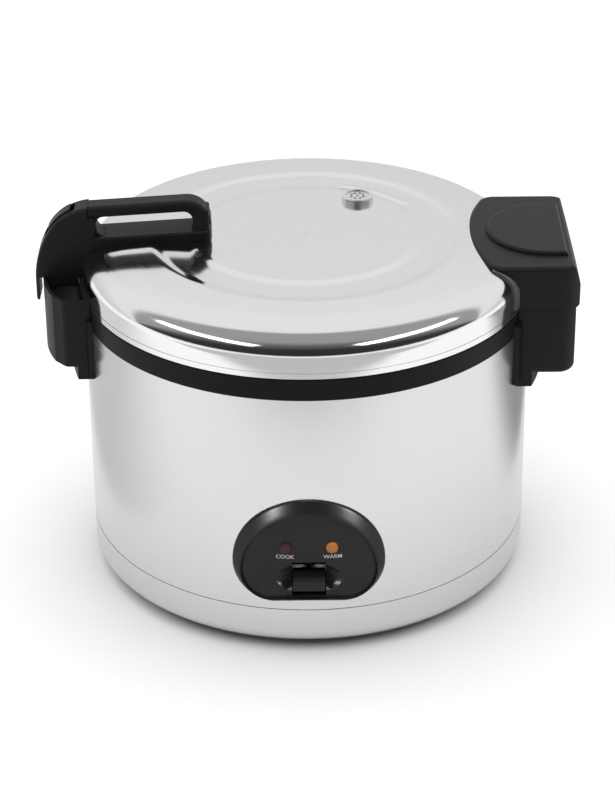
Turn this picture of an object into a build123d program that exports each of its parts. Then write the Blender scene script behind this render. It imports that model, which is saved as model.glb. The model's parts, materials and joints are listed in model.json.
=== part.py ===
from build123d import *
import os
from math import cos, radians, sin, tan

# A commercial-size electric rice cooker: round stainless body, lid on a side hinge.
# Frame: origin on the table under the body's axis, +Z up, control panel at -Y,
# lid hinge at +X, lid handle and latch at -X, mains inlet at +Y. Millimetres.

os.makedirs("parts", exist_ok=True)

# ---- Driving dimensions ----------------------------------------------------------------

# Body
floor_gap = 8.0                  # underside of the base ring above the table
body_radius = 190.0
sheet = 1.0                      # stainless sheet of the body, base and lid
base_top = floor_gap + 34.5
seam = 0.8                       # shadow gap between base ring and body shell
shell_bottom = base_top + seam
shell_top = floor_gap + 231.3
collar_top = floor_gap + 249.5
touch = 0.5                      # air between the closed lid and the collar

# Lid
rim_bottom = collar_top + touch
rim_top = floor_gap + 255.9
shoulder_radius = 20.4
crown_z = floor_gap + 290.9      # top of the lid's flat middle
plateau_radius = 96.2
crown_radius = 128.4             # outer edge of the pressed ring groove
crown_bend_radius = 160.0        # where the crown starts to fall faster
crown_bend_fall = 2.4
crown_fall = 8.1                 # how far the crown has dropped where it would meet the skirt
groove_depth = 1.7
groove_flank = 3.0
vent_x = 45.0
vent_y = 68.0

# Pot and liner
pot_radius = 160.0
pot_wall = 2.2
pot_floor = 80.0                 # underside of the pot, on the heating plate
pot_rest = 250.0                 # collar ledge that carries the pot's rim
liner_radius = 167.0
liner_floor = 60.0

# Hinge
hinge_x = 224.5
hinge_z = 261.0
knuckle_radius = 4.5
pin_radius = 2.0

# Side blocks (carrying handles)
block_web = 221.0                # roof of both finger recesses
recess_wall = 4.0
recess_inner_x = 202.0           # body-side wall of both finger recesses
screw_z = 229.0
latch_block_top = floor_gap + 256.0
hinge_base_top = 259.8

# Lid handle
grip_top = 333.0                 # at the grip's inner end
grip_thick = 9.0
grip_width = 20.0
grip_tilt = 3.5                  # degrees the handle falls towards its outer end
frame_top = 307.0
handle_width = 32.0
seam_x = -183.0                  # joint between arm and grip
opening_left = -177.0
opening_right = -95.0

# Latch
latch_x = -209.0
latch_z = 290.0

# Control panel
panel_radius = 196.0             # outer face of the bezel
face_radius = 193.5              # recessed face
panel_bottom = floor_gap + 43.5
panel_top = floor_gap + 141.0
panel_half_width = 63.0
lamp_x = 19.0
lamp_z = floor_gap + 97.0
lens_radius = 5.0
boss_x = 38.0                    # two screw bosses behind the bezel's face
boss_z = 112.0
boss_at = ((-boss_x, boss_z), (boss_x, boss_z))

# Cook lever
lever_y = -100.0                 # lever pivot
lever_z = 40.0
strap_top = 43.0                 # top of the lever's steel strap
paddle_half = 13.25
paddle_top = floor_gap + 72.0

# Mains inlet
inlet_z = 80.0
inlet_face = 201.0
inlet_screw_x = 20.0

# ---- Base ------------------------------------------------------------------------------

ring_lip = 168.0
joggle = 8.0                     # how far the base ring reaches up inside the shell
plate_z = floor_gap + 1.2        # upper side of the base ring's lip

with BuildPart() as base_ring:
    with BuildSketch(Plane.XZ):
        with BuildLine():
            FilletPolyline(
                (ring_lip, floor_gap), (body_radius, floor_gap), (body_radius, base_top), radius=13
            )
            offset(amount=1.2, side=Side.LEFT)
        make_face()
    revolve()
    with BuildSketch(Plane.XY.offset(base_top - joggle)):
        Circle(body_radius - sheet)
        Circle(body_radius - 2 * sheet, mode=Mode.SUBTRACT)
    extrude(amount=2 * joggle)
base_ring.part.label = "base_ring"
export_step(base_ring.part, "parts/base_ring.step")

foot_circle = 140.0
foot_height = plate_z
foot_at = PolarLocations(foot_circle, 4, start_angle=45)
plate_sheet = 1.2

with BuildPart() as bottom_plate:
    with BuildSketch(Plane.XY.offset(plate_z)):
        Circle(175)
        with PolarLocations(88, 24):
            SlotOverall(36, 5, mode=Mode.SUBTRACT)
        with PolarLocations(40, 12):
            SlotOverall(26, 5, mode=Mode.SUBTRACT)
        with foot_at:
            Circle(2.1, mode=Mode.SUBTRACT)
    extrude(amount=plate_sheet)
bottom_plate.part.label = "bottom_plate"
export_step(bottom_plate.part, "parts/bottom_plate.step")

with BuildPart() as feet:
    with BuildSketch(Plane.XY.offset(foot_height)):
        with foot_at:
            Circle(16)
    extrude(amount=-foot_height, taper=12)
    with BuildSketch(Plane.XY):
        with foot_at:
            Circle(5.5)
    extrude(amount=4.5, mode=Mode.SUBTRACT)
    with BuildSketch(Plane.XY):
        with foot_at:
            Circle(2.1)
    extrude(amount=foot_height, mode=Mode.SUBTRACT)
feet.part.label = "feet"
export_step(feet.part, "parts/feet.step")

with BuildPart() as foot_screws:
    with BuildSketch(Plane.XY.offset(1.5)):
        with foot_at:
            Circle(4.2)
    extrude(amount=3)
    with BuildSketch(Plane.XY.offset(4.5)):
        with foot_at:
            Circle(2)
    extrude(amount=13)
    with BuildSketch(Plane.XY.offset(plate_z + plate_sheet)):
        with foot_at:
            RegularPolygon(4, 6)
    extrude(amount=3.2)
foot_screws.part.label = "foot_screws"
export_step(foot_screws.part, "parts/foot_screws.step")

# ---- Body shell, collar, liner ---------------------------------------------------------

panel_cut_half = 45.0
panel_cut_low = 56.5
panel_cut_high = 132.0
inlet_cut_half = 16.0
inlet_cut_height = 24.0
side_screw_y = 35.0

with BuildPart() as body_shell:
    with BuildSketch(Plane.XY.offset(shell_bottom)):
        Circle(body_radius)
        Circle(body_radius - sheet, mode=Mode.SUBTRACT)
    extrude(amount=shell_top - shell_bottom)
    with BuildSketch(Plane.XZ.offset(150)):
        with Locations((0, (panel_cut_low + panel_cut_high) / 2)):
            RectangleRounded(2 * panel_cut_half, panel_cut_high - panel_cut_low, 8)
    extrude(amount=50, mode=Mode.SUBTRACT)
    with BuildSketch(Plane.XZ.offset(-150)):
        with Locations((0, inlet_z)):
            Rectangle(2 * inlet_cut_half, inlet_cut_height)
    extrude(amount=-50, mode=Mode.SUBTRACT)
    with BuildSketch(Plane.YZ.offset(-200)):
        with Locations((-side_screw_y, screw_z), (side_screw_y, screw_z)):
            Circle(2.1)
    extrude(amount=400, mode=Mode.SUBTRACT)
body_shell.part.label = "body_shell"
export_step(body_shell.part, "parts/body_shell.step")

ledge_radius = 166.0
gutter_radius = 181.0

with BuildPart() as collar_ring:
    with BuildSketch(Plane.XZ):
        with BuildLine():
            Polyline(
                (body_radius, shell_top),
                (body_radius, collar_top - 1),
                (body_radius - 1, collar_top),
                (gutter_radius, collar_top),
                (gutter_radius - 1, pot_rest + 3.5),
                (174, pot_rest + 3.5),
                (174, pot_rest),
                (ledge_radius, pot_rest),
                (ledge_radius, pot_rest - 6),
                (body_radius - 3, pot_rest - 6),
                (body_radius - 3, shell_top - 4.3),
                (body_radius - sheet, shell_top - 4.3),
                (body_radius - sheet, shell_top),
                close=True,
            )
        make_face()
    revolve()
collar_ring.part.label = "collar_ring"
export_step(collar_ring.part, "parts/collar_ring.step")

liner_sheet = 0.8
element_radius = 88.0
element_tube = 4.5
element_gap = radians(20)        # the ring stays open between its two terminals
terminal_at = (
    (element_radius, 0),
    (element_radius * cos(element_gap), -element_radius * sin(element_gap)),
)
support_circle = 108.0
band_low = 130.0
band_height = 40.0
band_thick = 2.5
housing_radius = 15.5

with BuildPart() as inner_liner:
    with BuildSketch(Plane.XZ):
        with BuildLine():
            FilletPolyline(
                (20.5, liner_floor),
                (liner_radius + liner_sheet, liner_floor),
                (liner_radius + liner_sheet, pot_rest - 6),
                radius=10,
            )
            offset(amount=liner_sheet, side=Side.LEFT)
        make_face()
        with Locations(((liner_radius + liner_sheet + 184) / 2, pot_rest - 6 - liner_sheet / 2)):
            Rectangle(184 - liner_radius - liner_sheet, liner_sheet)
    revolve()
    with BuildSketch(Plane.XY.offset(liner_floor)):
        with Locations(*terminal_at):
            Circle(4.2)
        with PolarLocations(support_circle, 3, start_angle=90):
            Circle(3)
    extrude(amount=liner_sheet, mode=Mode.SUBTRACT)
inner_liner.part.label = "inner_liner"
export_step(inner_liner.part, "parts/inner_liner.step")

with BuildPart() as keep_warm_band:
    with BuildSketch(Plane.XY.offset(band_low)):
        Circle(liner_radius + liner_sheet + band_thick)
        Circle(liner_radius + liner_sheet, mode=Mode.SUBTRACT)
        with Locations((0, liner_radius)):
            Rectangle(10, 20, mode=Mode.SUBTRACT)
    extrude(amount=band_height)
    with BuildSketch(Plane.XY.offset(band_low + 12)):
        with Locations((-6.5, liner_radius + 7), (6.5, liner_radius + 7)):
            Rectangle(3, 12)
    extrude(amount=16)
keep_warm_band.part.label = "keep_warm_band"
export_step(keep_warm_band.part, "parts/keep_warm_band.step")

# ---- Pot, heating plate ----------------------------------------------------------------

rim_radius = 172.5

with BuildPart() as inner_pot:
    with BuildSketch(Plane.XZ):
        with BuildLine():
            FilletPolyline(
                (0, pot_floor),
                (pot_radius + pot_wall, pot_floor),
                (pot_radius + pot_wall, pot_rest),
                (rim_radius, pot_rest),
                radius=[26, 2.5],
            )
            offset(amount=pot_wall, side=Side.LEFT)
        make_face()
        with Locations((rim_radius - 1, pot_rest + pot_wall / 2)):
            Circle(pot_wall / 2)
    revolve()
inner_pot.part.label = "inner_pot"
export_step(inner_pot.part, "parts/inner_pot.step")

plate_radius = 120.0
plate_low = liner_floor + 6.0

with BuildPart() as heating_plate:
    with BuildSketch(Plane.XY.offset(plate_low)):
        Circle(plate_radius)
        Circle(23, mode=Mode.SUBTRACT)
    extrude(amount=pot_floor - plate_low)
    fillet(heating_plate.faces().sort_by(Axis.Z)[-1].edges().sort_by(SortBy.LENGTH)[-1], 4)
    with BuildSketch(Plane.XZ):
        with Locations((element_radius, plate_low + element_tube - 1)):
            Circle(element_tube)
        with Locations((element_radius, plate_low)):
            Rectangle(2 * element_tube, 2 * element_tube - 2)
    revolve(mode=Mode.SUBTRACT)
heating_plate.part.label = "heating_plate"
export_step(heating_plate.part, "parts/heating_plate.step")

with BuildPart() as heating_element:
    with BuildSketch(Plane.XZ):
        with Locations((element_radius, plate_low + element_tube - 1)):
            Circle(element_tube)
    revolve(revolution_arc=340)
    with BuildSketch(Plane.XY.offset(liner_floor - 16)):
        with Locations(*terminal_at):
            Circle(3)
    extrude(amount=16 + plate_low - liner_floor + element_tube)
heating_element.part.label = "heating_element"
export_step(heating_element.part, "parts/heating_element.step")

with BuildPart() as plate_supports:
    with BuildSketch(Plane.XY.offset(liner_floor + liner_sheet)):
        with PolarLocations(support_circle, 3, start_angle=90):
            Circle(6)
    extrude(amount=plate_low - liner_floor - liner_sheet)
    with BuildSketch(Plane.XY.offset(liner_floor - 4)):
        with PolarLocations(support_circle, 3, start_angle=90):
            RegularPolygon(5, 6)
    extrude(amount=4)
plate_supports.part.label = "plate_supports"
export_step(plate_supports.part, "parts/plate_supports.step")

# ---- Thermostat and magnet --------------------------------------------------------------

cap_top = pot_floor - 0.3
cap_radius = 21.0
rod_radius = 2.5
housing_low = 46.0
strap_slot = 13.6                # opening that lets the lever's strap rise into the housing

with BuildPart() as thermostat_housing:
    with BuildSketch(Plane.XY.offset(housing_low)):
        Circle(housing_radius)
    extrude(amount=72 - housing_low)
    with BuildSketch(Plane.XY.offset(housing_low + 2)):
        Circle(housing_radius - 1.5)
    extrude(amount=30, mode=Mode.SUBTRACT)
    with BuildSketch(Plane.XY.offset(housing_low)):
        Circle(rod_radius + 0.1)
        with Locations((0, 6)):
            Rectangle(strap_slot, 24, align=(Align.CENTER, Align.MAX))
    extrude(amount=6, mode=Mode.SUBTRACT)
    with BuildSketch(Plane.XY.offset(liner_floor - 1.5)):
        Circle(30)
        Circle(housing_radius - 0.5, mode=Mode.SUBTRACT)
    extrude(amount=1.5)
thermostat_housing.part.label = "thermostat_housing"
export_step(thermostat_housing.part, "parts/thermostat_housing.step")

with BuildPart() as thermostat_cap:
    with BuildSketch(Plane.XY.offset(cap_top - 13)):
        Circle(cap_radius)
    extrude(amount=13)
    fillet(thermostat_cap.faces().sort_by(Axis.Z)[-1].edges(), 1)
    with BuildSketch(Plane.XY.offset(cap_top - 13)):
        Circle(cap_radius - 1.2)
    extrude(amount=11.5, mode=Mode.SUBTRACT)
thermostat_cap.part.label = "thermostat_cap"
export_step(thermostat_cap.part, "parts/thermostat_cap.step")

with BuildPart() as ferrite_disc:
    with BuildSketch(Plane.XY.offset(72)):
        Circle(12)
    extrude(amount=cap_top - 1.5 - 72)
ferrite_disc.part.label = "ferrite_disc"
export_step(ferrite_disc.part, "parts/ferrite_disc.step")

spring_low = liner_floor + 0.8
spring_high = cap_top - 2.4

with BuildPart() as cap_spring:
    with BuildLine():
        Helix(pitch=4.2, height=spring_high - spring_low, radius=17.6, center=(0, 0, spring_low))
    with BuildSketch(Plane(origin=(17.6, 0, spring_low), z_dir=(0, 1, 0))):
        Circle(0.7)
    sweep(is_frenet=True)
cap_spring.part.label = "cap_spring"
export_step(cap_spring.part, "parts/cap_spring.step")

with BuildPart() as magnet:
    with BuildSketch(Plane.XY.offset(52)):
        Circle(11)
    extrude(amount=10)
    chamfer(magnet.edges().group_by(Axis.Z)[-1], 1)
magnet.part.label = "magnet"
export_step(magnet.part, "parts/magnet.step")

with BuildPart() as magnet_rod:
    with BuildSketch(Plane.XY.offset(strap_top + 0.5)):
        Circle(rod_radius)
    extrude(amount=52 - strap_top - 0.5)
magnet_rod.part.label = "magnet_rod"
export_step(magnet_rod.part, "parts/magnet_rod.step")

# ---- Cook lever -------------------------------------------------------------------------

strap_width = 12.0
strap_thick = 2.0
upright_y = -178.0
pivot_radius = 2.5
slot_half = 14.0
slot_low = 57.5
slot_high = floor_gap + 83.0
stem_end = upright_y - strap_thick

with BuildPart() as lever_arm:
    with BuildSketch(Plane.YZ):
        with BuildLine():
            FilletPolyline((4, strap_top), (upright_y, strap_top), (upright_y, paddle_top - 3), radius=4)
            offset(amount=strap_thick, side=Side.LEFT)
        make_face()
    extrude(amount=strap_width / 2, both=True)
    with BuildSketch(Plane.YZ):
        with Locations((lever_y, lever_z)):
            Circle(5)
    extrude(amount=strap_width / 2, both=True)
    with BuildSketch(Plane.YZ):
        with Locations((lever_y, lever_z)):
            Circle(pivot_radius + 0.06)
    extrude(amount=strap_width, both=True, mode=Mode.SUBTRACT)
lever_arm.part.label = "lever_arm"
export_step(lever_arm.part, "parts/lever_arm.step")

with BuildPart() as cook_lever:
    with BuildSketch(Plane.YZ):
        with BuildLine():
            Polyline(
                (stem_end, paddle_top - 2),
                (-187, paddle_top - 2),
                (-187, paddle_top),
                (-199, paddle_top),
                (-200.6, paddle_top - 1.2),
                (-201, paddle_top - 3.5),
                (-197.5, paddle_top - 14),
                (-188, paddle_top - 14),
                (-187, paddle_top - 10),
                (stem_end, paddle_top - 10),
                close=True,
            )
        make_face()
    extrude(amount=paddle_half, both=True)
    fillet(cook_lever.edges().filter_by(Axis.X).group_by(Axis.Y)[0], 1.2)
cook_lever.part.label = "cook_lever"
export_step(cook_lever.part, "parts/cook_lever.step")

ear_in = strap_width / 2 + 1.0
ear_out = ear_in + 1.5
floor_plate = plate_z + plate_sheet

with BuildPart() as lever_bracket:
    with BuildSketch(Plane.YZ.offset(-ear_out)):
        with BuildLine():
            Polyline(
                (lever_y - 13, floor_plate),
                (lever_y + 13, floor_plate),
                (lever_y + 7, lever_z + 7),
                (lever_y - 7, lever_z + 7),
                close=True,
            )
        make_face()
        with Locations((lever_y, lever_z)):
            Circle(pivot_radius, mode=Mode.SUBTRACT)
    extrude(amount=2 * ear_out)
    with BuildSketch(Plane.YZ.offset(-ear_in)):
        with Locations((lever_y, floor_plate + 1.5 + 25)):
            Rectangle(40, 50)
    extrude(amount=2 * ear_in, mode=Mode.SUBTRACT)
lever_bracket.part.label = "lever_bracket"
export_step(lever_bracket.part, "parts/lever_bracket.step")

with BuildPart() as lever_pin:
    with BuildSketch(Plane.YZ.offset(-ear_out - 1.5)):
        with Locations((lever_y, lever_z)):
            Circle(pivot_radius)
    extrude(amount=2 * ear_out + 3)
lever_pin.part.label = "lever_pin"
export_step(lever_pin.part, "parts/lever_pin.step")

spring_y = -150.0

with BuildPart() as lever_spring:
    with BuildLine():
        Helix(
            pitch=4.5,
            height=strap_top - strap_thick - floor_plate - 1.4,
            radius=5,
            center=(0, spring_y, floor_plate + 0.7),
        )
    with BuildSketch(Plane(origin=(5, spring_y, floor_plate + 0.7), z_dir=(0, 1, 0))):
        Circle(0.6)
    sweep(is_frenet=True)
lever_spring.part.label = "lever_spring"
export_step(lever_spring.part, "parts/lever_spring.step")

with BuildPart() as microswitch:
    with BuildSketch(Plane.XY.offset(floor_plate)):
        with Locations((24, -130)):
            Rectangle(10, 28)
    extrude(amount=16)
    fillet(microswitch.edges().filter_by(Axis.Z), 1)
    with BuildSketch(Plane.XY.offset(floor_plate + 16)):
        with Locations((24, -122)):
            Rectangle(4, 3)
    extrude(amount=1.5)
microswitch.part.label = "microswitch"
export_step(microswitch.part, "parts/microswitch.step")

# ---- Wiring parts -----------------------------------------------------------------------

with BuildPart() as terminal_block:
    with BuildSketch(Plane.XY.offset(floor_plate)):
        with Locations((-45, 110)):
            Rectangle(44, 20)
    extrude(amount=16)
    with BuildSketch(Plane.XY.offset(floor_plate + 6)):
        with Locations((-45, 110)):
            with GridLocations(12, 0, 3, 1):
                Circle(3.2)
    extrude(amount=10, mode=Mode.SUBTRACT)
terminal_block.part.label = "terminal_block"
export_step(terminal_block.part, "parts/terminal_block.step")

with BuildPart() as thermal_fuse:
    with BuildSketch(Plane.YZ.offset(50)):
        with Locations((30, liner_floor - 4)):
            Circle(4)
    extrude(amount=24)
thermal_fuse.part.label = "thermal_fuse"
export_step(thermal_fuse.part, "parts/thermal_fuse.step")

# ---- Control panel ----------------------------------------------------------------------


def panel_outline(radius, top, bottom):
    """Outline of the panel: a half-round top on round lower corners and a flat foot."""
    waist = top - radius
    corner = waist - bottom
    flat = radius - corner
    with BuildSketch() as outline:
        with BuildLine():
            CenterArc((0, waist), radius, 0, 180)
            CenterArc((-flat, waist), corner, 180, 90)
            Line((-flat, bottom), (flat, bottom))
            CenterArc((flat, waist), corner, 270, 90)
        make_face()
    return outline.sketch


dish_axis_y = -203.5             # the finger dish is a short fat spindle lying along X
dish_radius = 18.5
dish_half = 28.5
dish_z = (slot_low + 1.5 + slot_high) / 2

with BuildPart() as face_recess:
    with BuildSketch(Plane.XZ.offset(150)):
        add(panel_outline(panel_half_width - 7, panel_top - 14, panel_bottom + 4))
    extrude(amount=60)
    with BuildSketch(Plane.XY.offset(panel_bottom)):
        Circle(panel_radius + 10)
        Circle(face_radius, mode=Mode.SUBTRACT)
    extrude(amount=panel_top - panel_bottom, mode=Mode.INTERSECT)

with BuildPart() as finger_dish:
    with BuildSketch(Plane.XY.offset(dish_z)):
        with BuildLine():
            edge = dish_axis_y + dish_radius - 8.5
            arc = ThreePointArc((-dish_half, edge), (0, dish_axis_y + dish_radius), (dish_half, edge))
            Polyline(arc @ 1, (dish_half, dish_axis_y), (-dish_half, dish_axis_y), arc @ 0)
        make_face()
    revolve(axis=Axis((0, dish_axis_y, dish_z), (1, 0, 0)))

with BuildPart() as panel_bezel:
    with BuildSketch(Plane.XZ.offset(150)):
        add(panel_outline(panel_half_width, panel_top, panel_bottom))
    extrude(amount=60)
    with BuildSketch(Plane.XY.offset(panel_bottom - 1)):
        Circle(panel_radius)
        Circle(body_radius, mode=Mode.SUBTRACT)
    extrude(amount=panel_top - panel_bottom + 2, mode=Mode.INTERSECT)
    fillet(panel_bezel.faces().sort_by(Axis.Y)[0].edges(), 4)
    add(face_recess.part, mode=Mode.SUBTRACT)
    with BuildSketch(Plane.XZ.offset(181)):
        with Locations((0, (slot_low + 1 + slot_high + 4) / 2)):
            Rectangle(66, slot_high + 3 - slot_low)
    extrude(amount=10)
    with BuildSketch(Plane.XZ.offset(181)):
        with Locations(*boss_at):
            Circle(4)
    extrude(amount=6.5)
    add(finger_dish.part, mode=Mode.SUBTRACT)
    with BuildSketch(Plane.XZ.offset(170)):
        with Locations((0, (slot_low + slot_high) / 2)):
            Rectangle(2 * slot_half, slot_high - slot_low)
        with Locations((-lamp_x, lamp_z), (lamp_x, lamp_z)):
            Circle(lens_radius + 0.05)
    extrude(amount=40, mode=Mode.SUBTRACT)
    with BuildSketch(Plane.XZ.offset(181)):
        with Locations(*boss_at):
            Circle(1.5)
    extrude(amount=8, mode=Mode.SUBTRACT)
panel_bezel.part.label = "panel_bezel"
export_step(panel_bezel.part, "parts/panel_bezel.step")

back_plate_y = 178.5

with BuildPart() as panel_back:
    with BuildSketch(Plane.XZ.offset(back_plate_y)):
        with Locations((0, lamp_z + 5)):
            RectangleRounded(92, 28, 4)
        with Locations((-lamp_x, lamp_z), (lamp_x, lamp_z)):
            Circle(4.1, mode=Mode.SUBTRACT)
        with Locations(*boss_at):
            Circle(1.6, mode=Mode.SUBTRACT)
    extrude(amount=2.5)
panel_back.part.label = "panel_back"
export_step(panel_back.part, "parts/panel_back.step")

with BuildPart() as small_screws:
    for face_y, half_pitch, low in (
        (back_plate_y - 2.2, boss_x, boss_z),
        (-inlet_face, inlet_screw_x, inlet_z),
    ):
        with BuildSketch(Plane.XZ.offset(face_y)):
            with Locations((-half_pitch, low), (half_pitch, low)):
                Circle(3)
        extrude(amount=2.2)
        with BuildSketch(Plane.XZ.offset(face_y + 2.2)):
            with Locations((-half_pitch, low), (half_pitch, low)):
                Circle(1.5)
        extrude(amount=9)
small_screws.part.label = "small_screws"
export_step(small_screws.part, "parts/small_screws.step")


def indicator_lens(x):
    """Round lamp lens with a domed front and a flange behind the bezel."""
    with BuildPart() as lens:
        with BuildSketch(Plane.XZ.offset(186)):
            with Locations((x, lamp_z)):
                Circle(lens_radius)
        extrude(amount=8.6)
        fillet(lens.faces().sort_by(Axis.Y)[0].edges(), 1.4)
        with BuildSketch(Plane.XZ.offset(186)):
            with Locations((x, lamp_z)):
                Circle(lens_radius + 1.5)
        extrude(amount=1.5)
    return lens.part


cook_lens = indicator_lens(-lamp_x)
cook_lens.label = "cook_lens"
export_step(cook_lens, "parts/cook_lens.step")

warm_lens = indicator_lens(lamp_x)
warm_lens.label = "warm_lens"
export_step(warm_lens, "parts/warm_lens.step")

with BuildPart() as indicator_lamps:
    with BuildSketch(Plane.XZ.offset(172)):
        with Locations((-lamp_x, lamp_z), (lamp_x, lamp_z)):
            Circle(4)
    extrude(amount=13.5)
    fillet(indicator_lamps.faces().filter_by(Axis.Y).group_by(Axis.Y)[0].edges(), 2)
indicator_lamps.part.label = "indicator_lamps"
export_step(indicator_lamps.part, "parts/indicator_lamps.step")

# ---- Latch-side body handle ---------------------------------------------------------------

flange_thick = 4.0
flange_low = floor_gap + 183.0
latch_block_low = floor_gap + 195.0
latch_half_width = 58.0
well_floor = 238.0
well_wall = 3.0

with BuildPart() as body_envelope:
    with BuildSketch(Plane.XY.offset(floor_gap)):
        Circle(body_radius)
    extrude(amount=collar_top - floor_gap + 40)


def latch_block_plan(inset):
    """Plan of the latch-side block, bowed outward, drawn smaller by an inset."""
    near = latch_half_width - inset
    bend = -213 + inset
    bend_y = 47 - inset / 2
    with BuildSketch() as plan:
        with BuildLine():
            arc = ThreePointArc((bend, -bend_y), (-224 + inset, 0), (bend, bend_y))
            Polyline(arc @ 1, (-203, near), (-150, near), (-150, -near), (-203, -near), arc @ 0)
        make_face()
    return plan.sketch


with BuildPart() as latch_side_block:
    with BuildSketch(Plane.XY.offset(latch_block_low)):
        add(latch_block_plan(0))
    extrude(amount=latch_block_top - latch_block_low)
    fillet(latch_side_block.edges().filter_by(Axis.Z).filter_by_position(Axis.X, -215, -200), 6)
    with BuildSketch(Plane.XY.offset(flange_low)):
        Circle(body_radius + flange_thick + 8)
        Circle(body_radius - 1, mode=Mode.SUBTRACT)
        with Locations((-190, 0)):
            Rectangle(60, 2 * latch_half_width, mode=Mode.INTERSECT)
    extrude(amount=latch_block_low - flange_low + 10)
    with BuildSketch(Plane.XY.offset(flange_low + 4)):
        Circle(body_radius + flange_thick)
        Circle(body_radius - 1, mode=Mode.SUBTRACT)
        with Locations((-190, 0)):
            Rectangle(70, 2 * latch_half_width + 12, mode=Mode.INTERSECT)
    extrude(amount=52)
    with BuildSketch(Plane.XY.offset(well_floor)):
        add(latch_block_plan(well_wall))
    extrude(amount=40, mode=Mode.SUBTRACT)
    with BuildSketch(Plane.XY.offset(well_floor)):
        Circle(body_radius + well_wall)
        with Locations((-190, 0)):
            Rectangle(80, 2 * latch_half_width, mode=Mode.INTERSECT)
    extrude(amount=latch_block_top - well_floor)
    with BuildSketch(Plane.XY.offset(flange_low - 5)):
        add(latch_block_plan(recess_wall))
        with Locations((-recess_inner_x, 0)):
            Rectangle(40, 92, align=(Align.MAX, Align.CENTER), mode=Mode.INTERSECT)
    extrude(amount=block_web - flange_low + 5, mode=Mode.SUBTRACT)
    add(body_envelope.part, mode=Mode.SUBTRACT)
    with BuildSketch(Plane.YZ.offset(-203)):
        with Locations((-side_screw_y, screw_z), (side_screw_y, screw_z)):
            Circle(2)
    extrude(amount=20, mode=Mode.SUBTRACT)
latch_side_block.part.label = "latch_side_block"
export_step(latch_side_block.part, "parts/latch_side_block.step")

with BuildPart() as side_screws:
    for side in (-1, 1):
        with BuildSketch(Plane.YZ.offset(side * 202)):
            with Locations((-side_screw_y, screw_z), (side_screw_y, screw_z)):
                Circle(2)
        extrude(amount=-side * 18)
        with BuildSketch(Plane.YZ.offset(side * 184)):
            with Locations((-side_screw_y, screw_z), (side_screw_y, screw_z)):
                Circle(3.5)
        extrude(amount=-side * 2.5)
side_screws.part.label = "side_screws"
export_step(side_screws.part, "parts/side_screws.step")

strike_z = 255.0
strike_end = -211.8

with BuildPart() as latch_strike:
    with BuildSketch(Plane.XZ.offset(-10)):
        with BuildLine():
            Polyline(
                (-193.4, strike_z + 2),
                (strike_end, strike_z + 2),
                (strike_end, strike_z),
                (-195.4, strike_z),
                (-195.4, well_floor + 2),
                (-193.4, well_floor + 2),
                close=True,
            )
        make_face()
    extrude(amount=20)
    with BuildSketch(Plane.XY.offset(well_floor)):
        Circle(body_radius + well_wall)
    extrude(amount=30, mode=Mode.SUBTRACT)
latch_strike.part.label = "latch_strike"
export_step(latch_strike.part, "parts/latch_strike.step")

# ---- Hinge-side base ----------------------------------------------------------------------

hinge_half_width = 75.0
hinge_bow = 4.0                  # how far the blocks' outer faces bulge
cover_reach = 230.0
cover_top_reach = 221.0
base_reach = 227.5
hinge_base_low = floor_gap + 191.5
hinge_flange_low = floor_gap + 180.5
notch_x = 223.8
notch_z = 254.8
base_knuckle = 11.5
cover_knuckle = 32.0
trough_radius = 6.0
pin_half = 33.0


def bowed_plan(reach, half_width, inner_x, corner):
    """Plan of a hinge block: straight sides and a slightly bulging outer edge."""
    outer_x = reach - hinge_bow
    with BuildSketch() as plan:
        with BuildLine():
            arc = ThreePointArc((outer_x, -half_width), (reach, 0), (outer_x, half_width))
            Polyline(arc @ 1, (inner_x, half_width), (inner_x, -half_width), arc @ 0)
        make_face()
        fillet(plan.vertices().group_by(Axis.X)[-1], corner)
    return plan.sketch


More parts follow.
